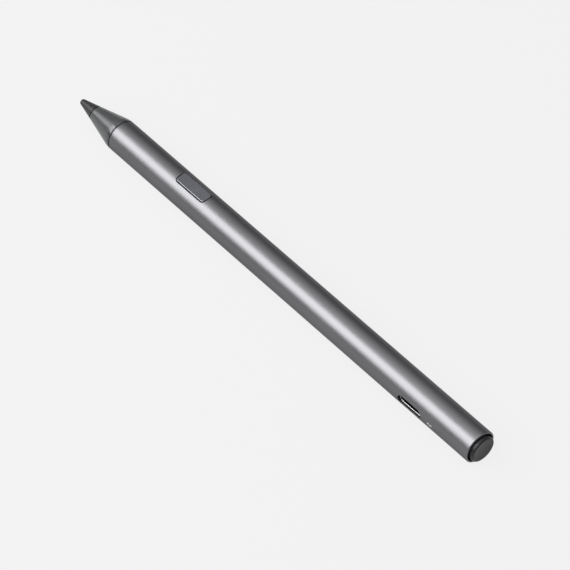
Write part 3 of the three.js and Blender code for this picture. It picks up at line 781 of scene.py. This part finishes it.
def make_tail_button(material):
    """The tail button: a shallow dish with a round edge, on a stem."""
    cap_radius = (TAIL_HIGH.z - TAIL_LOW.z) / 2
    pocket = TAIL_SPRING_POCKET
    corners = [
        (TAIL_LOW.x, 0),
        (TAIL_LOW.x, TAIL_STEM_RADIUS, TAIL_ROUNDING["stem"]),
        (TAIL_CAP_START, TAIL_STEM_RADIUS),
        (TAIL_CAP_START, pocket["inner"]),
        (pocket["end"], pocket["inner"]),
        (pocket["end"], pocket["outer"]),
        (TAIL_CAP_START, pocket["outer"]),
        (TAIL_CAP_START, cap_radius, TAIL_ROUNDING["underside"]),
        (TAIL_HIGH.x, cap_radius, TAIL_ROUNDING["top"]),
    ]
    for k in range(TAIL_DISH["steps"], -1, -1):
        share = k / TAIL_DISH["steps"]
        sunk = TAIL_DISH["depth"] * (1 - share ** 2)
        corners.append((TAIL_HIGH.x - sunk, TAIL_DISH["radius"] * share))
    button = lathe("tail_button_cap", refined(rounded(corners, closed=False), step=0.4))
    finish_piece(button, material, "tail_key", "tail_plastic", "tail_button")


def make_port_shell(material):
    """The charging socket's drawn shell, with a rolled front lip and a closed back."""
    wall = PORT_SHELL["wall"]
    outer = pill(PORT_OPENING, wall)
    front, back = -SHELL_LOW.y, -SHELL_HIGH.y
    lip = round_over(PORT_SHELL["lip"])
    levels = [(outer, 0.0, back)]
    levels += [(outer, inset, front - drop) for inset, drop in lip]
    levels += [(outer, wall - drop, front - inset) for inset, drop in lip]
    levels.append((outer, wall, back + PORT_SHELL["back_wall"]))
    shell = loft("port_shell", levels, sideways(PORT_CENTRE))
    finish_piece(shell, material, "pen_body", "port_steel", "usb_c_shell")


def make_light_pipe(material):
    """The light pipe, with a slightly domed front."""
    section = pill(LIGHT_SLOT, -LIGHT_PIPE["play"])
    front, back = -PIPE_LOW.y, -PIPE_HIGH.y
    levels = [(section, 0.0, back)]
    for inset, drop in round_over(LIGHT_PIPE["dome"], LIGHT_PIPE["dome_sweep"]):
        levels.append((section, LIGHT_PIPE["dome_inset"] * inset, front - drop))
    pipe = loft("light_window", levels, sideways(LIGHT_CENTRE))
    finish_piece(pipe, material, "pen_body", "light_pipe", "light_pipe")


def make_spring(material, node, shape):
    """A coil spring that fills the length of its CAD node's box, with its own copy of its mesh."""
    low, high = box_mm(node)
    spring = coil(node + "_coil", low.x, high.x, **shape)
    finish_piece(spring, material, "pen_body", "spring_steel", node)
    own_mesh(spring)


def dress_cad_nodes(finishes):
    """Gives every CAD node that still shows the procedural material of its slot."""
    for part in frame["record"]["subparts"]:
        node = frame["nodes"][part["node"]]
        if not node.hide_render:
            node.data.materials.clear()
            node.data.materials.append(finishes[part["material_slot"]])


# ---- Studio ---------------------------------------------------------------------------------

CAMERA = {"azimuth": 50.973, "elevation": 49.934, "roll": -2.27, "distance": 845.5}
LENS = {"focal": 204.05, "sensor": 36, "nearest": 10}
AIM = Vector((6.91, -1.747, 4.741))
SOFTBOX = {"length": 1500, "width": 540, "distance": 600, "middle": -550, "power": 12.4}
SOFTBOX_LEAN = math.radians(36)
SOFTBOX_YAW = math.radians(-11)
SKY = {"horizon": 0.21, "zenith": 1.9, "steepness": 4.0}
FLOOR = {"size": 8000, "below": 0.02, "glow": 0.835, "albedo": 0.03}


def make_camera():
    """A long lens, set by its angles round the pen and its distance from the point it aims at."""
    azimuth, elevation = math.radians(CAMERA["azimuth"]), math.radians(CAMERA["elevation"])
    back = Vector((
        math.sin(azimuth) * math.cos(elevation),
        -math.cos(azimuth) * math.cos(elevation),
        math.sin(elevation),
    ))
    camera = bpy.data.objects.new("camera", bpy.data.cameras.new("camera"))
    camera.data.sensor_width = LENS["sensor"]
    camera.data.lens = LENS["focal"]
    camera.data.clip_start = LENS["nearest"] * MM
    camera.location = (AIM + back * CAMERA["distance"]) * MM
    roll = Quaternion((0, 0, 1), math.radians(CAMERA["roll"]))
    camera.rotation_euler = (back.to_track_quat("Z", "Y") @ roll).to_euler()
    bpy.context.scene.collection.objects.link(camera)
    bpy.context.scene.camera = camera


def make_key_light():
    """A long softbox above the pen's port side, nearly parallel to the pen."""
    light = bpy.data.lights.new("softbox", "AREA")
    light.shape = "RECTANGLE"
    light.size = SOFTBOX["length"] * MM
    light.size_y = SOFTBOX["width"] * MM
    light.energy = SOFTBOX["power"]
    lamp = bpy.data.objects.new("softbox", light)
    away = SOFTBOX["distance"]
    across, up = -away * math.sin(SOFTBOX_LEAN), away * math.cos(SOFTBOX_LEAN)
    lamp.location = Vector((SOFTBOX["middle"], across, AXIS_Z + up)) * MM
    lean = Quaternion((1, 0, 0), SOFTBOX_LEAN)
    yaw = Quaternion((0, 0, 1), SOFTBOX_YAW)
    lamp.rotation_euler = (lean @ yaw).to_euler()
    bpy.context.scene.collection.objects.link(lamp)


def make_sky():
    """A grey surround, dark at the horizon and bright overhead. The floor hides its lower half."""
    world = bpy.data.worlds.new("studio")
    world.use_nodes = True
    bpy.context.scene.world = world
    nodes, links = world.node_tree.nodes, world.node_tree.links
    place = nodes.new("ShaderNodeTexCoord")
    split = nodes.new("ShaderNodeSeparateXYZ")
    ramp = nodes.new("ShaderNodeMapRange")
    curve = nodes.new("ShaderNodeMath")
    curve.operation = "POWER"
    curve.use_clamp = True
    curve.inputs[1].default_value = SKY["steepness"]
    ramp.inputs["To Min"].default_value = SKY["horizon"]
    ramp.inputs["To Max"].default_value = SKY["zenith"]
    links.new(place.outputs["Generated"], split.inputs["Vector"])
    links.new(split.outputs["Z"], curve.inputs[0])
    links.new(curve.outputs["Value"], ramp.inputs["Value"])
    links.new(ramp.outputs["Result"], nodes["Background"].inputs["Strength"])
    nodes["Background"].inputs["Color"].default_value = (1.0, 1.0, 1.0, 1)


def make_floor():
    """A pale light table, which glows evenly and takes a faint contact shadow."""
    bm = bmesh.new()
    bmesh.ops.create_grid(bm, x_segments=8, y_segments=8, size=FLOOR["size"] / 2 * MM)
    mesh = bpy.data.meshes.new("floor")
    bm.to_mesh(mesh)
    bm.free()
    floor = bpy.data.objects.new("floor", mesh)
    floor.location.z = CAD_BOX[0].z - FLOOR["below"] * MM
    bpy.context.scene.collection.objects.link(floor)
    albedo = FLOOR["albedo"]
    material = new_material(
        "floor",
        Base_Color=(albedo, albedo, albedo, 1),
        Roughness=1.0,
        Specular_IOR_Level=0.0,
        Emission_Color=(1, 1, 1, 1),
        Emission_Strength=FLOOR["glow"],
    )
    mesh.materials.append(material)


def make_studio():
    """The camera, the light, the surround and the floor, shown without a tone curve."""
    make_camera()
    make_key_light()
    make_sky()
    make_floor()
    view = bpy.context.scene.view_settings
    view.view_transform = "Standard"
    view.look = "None"


# ---- Everything -----------------------------------------------------------------------------


make_studio()
make_nib(nib_polymer())
make_nose(nose_paint())
make_barrel(anodised_aluminium())
make_side_button(button_finish())
make_tail_button(tail_plastic())
make_port_shell(port_steel())
make_light_pipe(light_pipe_plastic())
finishes = inner_finishes()
make_spring(
    finishes["spring_steel"], "nib_spring", NIB_SPRING,
)
make_spring(
    finishes["spring_steel"], "tail_spring", TAIL_SPRING,
)
dress_cad_nodes(finishes)
